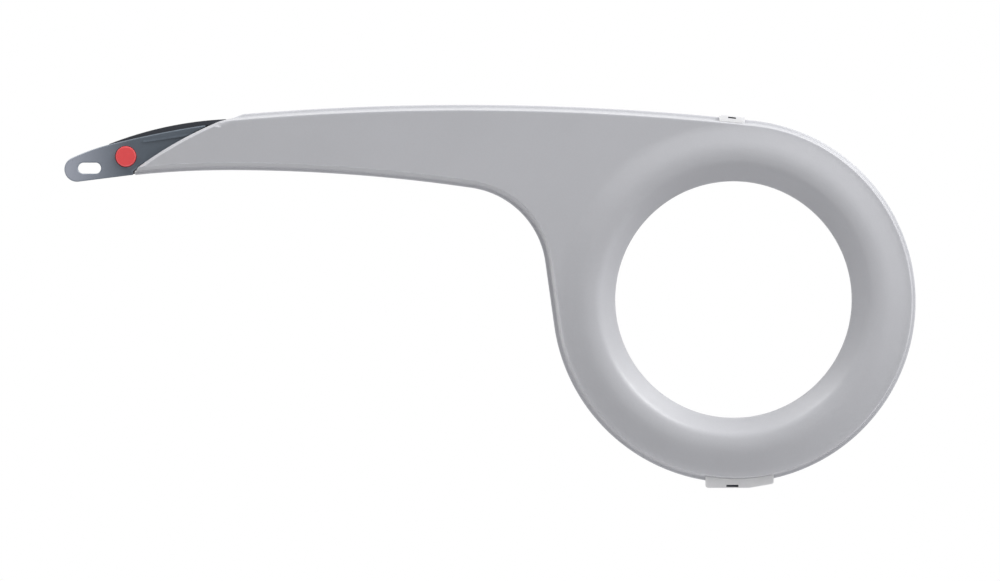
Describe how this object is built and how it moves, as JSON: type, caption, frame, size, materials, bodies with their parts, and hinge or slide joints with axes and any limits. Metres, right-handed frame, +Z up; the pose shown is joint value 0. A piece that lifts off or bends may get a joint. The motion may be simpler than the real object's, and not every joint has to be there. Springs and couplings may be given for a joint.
{
  "type": "chain guard",
  "caption": "Bicycle chain guard: moulded ring round the chainring, arm over the upper chain run, and a quick-release slotted rear bracket.",
  "frame": {"origin": "on the crank axis, half way along the lip of the crank opening", "axes": "+X towards the front of the ring with the arm along -X, +Y inward towards the bicycle, +Z up as the guard hangs on the bicycle"},
  "size_m": [0.4798, 0.0331, 0.2162],
  "materials": {
    "cover_plastic": "silver-grey satin moulded plastic",
    "socket_plastic": "light grey moulded plastic",
    "black_plastic": "near-black moulded plastic",
    "slate_plastic": "slate-grey moulded plastic",
    "red_plastic": "red satin moulded plastic",
    "screw_steel": "zinc-plated steel"
  },
  "bodies": {
    "guard": {"cover_shell": "cover_plastic", "end_channel": "black_plastic", "channel_screws": "screw_steel", "lower_socket": "socket_plastic", "lower_catch": "black_plastic", "upper_socket": "socket_plastic", "upper_catch": "black_plastic", "socket_rivets": "socket_plastic"},
    "bracket": {"rear_bracket": "slate_plastic", "button_spring": "screw_steel"},
    "button": {"release_button": "red_plastic", "lock_cone": "black_plastic", "lock_screw": "screw_steel"}
  },
  "joints": [
    {"name": "bracket_slide", "type": "slide", "parent": "guard", "child": "bracket", "axis": [-0.9903, 0, -0.1392], "range_m": [0, 0.04]},
    {"name": "button_press", "type": "slide", "parent": "bracket", "child": "button", "axis": [0, 1, 0], "range_m": [0, 0.0025], "stiffness_N_per_m": 800, "springref_m": -0.002, "deforming": ["button_spring"]}
  ]
}
